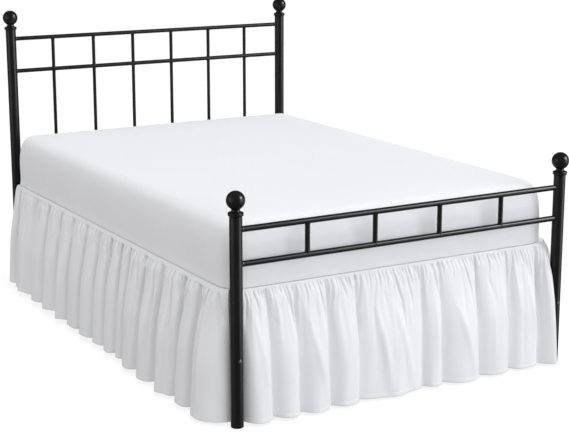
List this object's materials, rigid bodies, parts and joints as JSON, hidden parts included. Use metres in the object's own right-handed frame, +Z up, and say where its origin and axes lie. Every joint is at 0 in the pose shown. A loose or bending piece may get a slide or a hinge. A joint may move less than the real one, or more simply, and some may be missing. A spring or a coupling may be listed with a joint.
{
  "type": "bed skirt on a bed",
  "caption": "White gathered bed skirt with split foot corners, hung between mattress and box spring on a black metal bed with ball finials.",
  "frame": {"origin": "on the floor under the middle of the bed", "axes": "+Z up, +Y from the foot of the bed to the head, +X to the bed's right as seen from the foot"},
  "size_m": [1.6019, 2.2074, 1.2475],
  "materials": {
    "black_paint": "satin black paint",
    "bolt_black": "dark plated steel",
    "ticking": "plain pale woven ticking",
    "sheet_cotton": "smooth white cotton fitted sheet",
    "skirt_cotton": "plain-woven white cotton, gathered"
  },
  "bodies": {
    "root": {"post_foot_left": "black_paint", "finial_foot_left": "black_paint", "post_foot_right": "black_paint", "finial_foot_right": "black_paint", "post_head_left": "black_paint", "finial_head_left": "black_paint", "post_head_right": "black_paint", "finial_head_right": "black_paint", "head_rail_top": "black_paint", "head_rail_middle": "black_paint", "head_rail_low": "black_paint", "foot_rail_top": "black_paint", "foot_rail_low": "black_paint", "head_spindle_upper_1": "black_paint", "head_spindle_upper_2": "black_paint", "head_spindle_upper_3": "black_paint", "head_spindle_upper_4": "black_paint", "head_spindle_upper_5": "black_paint", "head_spindle_upper_6": "black_paint", "head_spindle_lower_1": "black_paint", "head_spindle_lower_2": "black_paint", "head_spindle_lower_3": "black_paint", "head_spindle_lower_4": "black_paint", "head_spindle_lower_5": "black_paint", "head_spindle_lower_6": "black_paint", "foot_spindle_1": "black_paint", "foot_spindle_2": "black_paint", "foot_spindle_3": "black_paint", "foot_spindle_4": "black_paint", "side_rail_left": "black_paint", "side_rail_right": "black_paint", "bolt_foot_left": "bolt_black", "bolt_foot_right": "bolt_black", "bolt_head_left": "bolt_black", "bolt_head_right": "bolt_black", "box_spring": "ticking", "mattress": "sheet_cotton", "deck": "skirt_cotton", "ruffle_left": "skirt_cotton", "ruffle_right": "skirt_cotton", "ruffle_foot": "skirt_cotton"}
  },
  "joints": []
}
